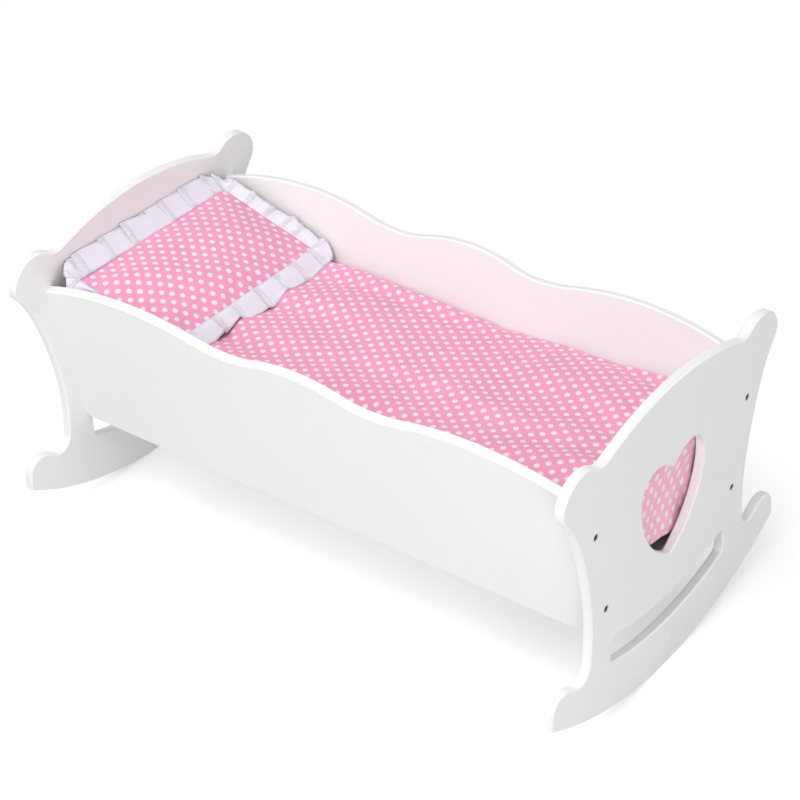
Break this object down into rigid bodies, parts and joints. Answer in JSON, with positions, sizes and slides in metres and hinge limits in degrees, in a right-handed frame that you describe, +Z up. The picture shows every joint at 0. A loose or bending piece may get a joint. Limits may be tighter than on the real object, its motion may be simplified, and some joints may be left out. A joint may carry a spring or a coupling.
{
  "type": "rocking doll cradle",
  "caption": "Painted wooden rocking doll cradle with heart cut-outs, curved finger slots and removable polka-dot quilt and ruffled pillow.",
  "frame": {"origin": "on the floor under the middle of the cradle, where both rockers touch it", "axes": "+X towards the footboard along the bed, +Y across it, +Z up"},
  "size_m": [0.56, 0.3396, 0.28],
  "materials": {
    "painted_board": "satin",
    "screw_steel": "satin",
    "mattress_cloth": "matte",
    "dotted_cloth": "matte",
    "satin_ribbon": "satin"
  },
  "bodies": {
    "cradle": {"headboard": "painted_board", "footboard": "painted_board", "side_panel_near": "painted_board", "side_panel_far": "painted_board", "base_panel": "painted_board", "headboard_screws": "screw_steel", "footboard_screws": "screw_steel"},
    "mattress": {"mattress": "mattress_cloth"},
    "quilt": {"quilt": "dotted_cloth"},
    "pillow": {"pillow": "dotted_cloth", "pillow_ruffle": "satin_ribbon"}
  },
  "joints": [
    {"name": "mattress_lift", "type": "slide", "parent": "cradle", "child": "mattress", "axis": [0, 0, 1], "range_m": [0, 0.25]},
    {"name": "quilt_lift", "type": "slide", "parent": "mattress", "child": "quilt", "axis": [0, 0, 1], "range_m": [0, 0.2]},
    {"name": "pillow_lift", "type": "slide", "parent": "quilt", "child": "pillow", "axis": [0, 0, 1], "range_m": [0, 0.15]}
  ]
}
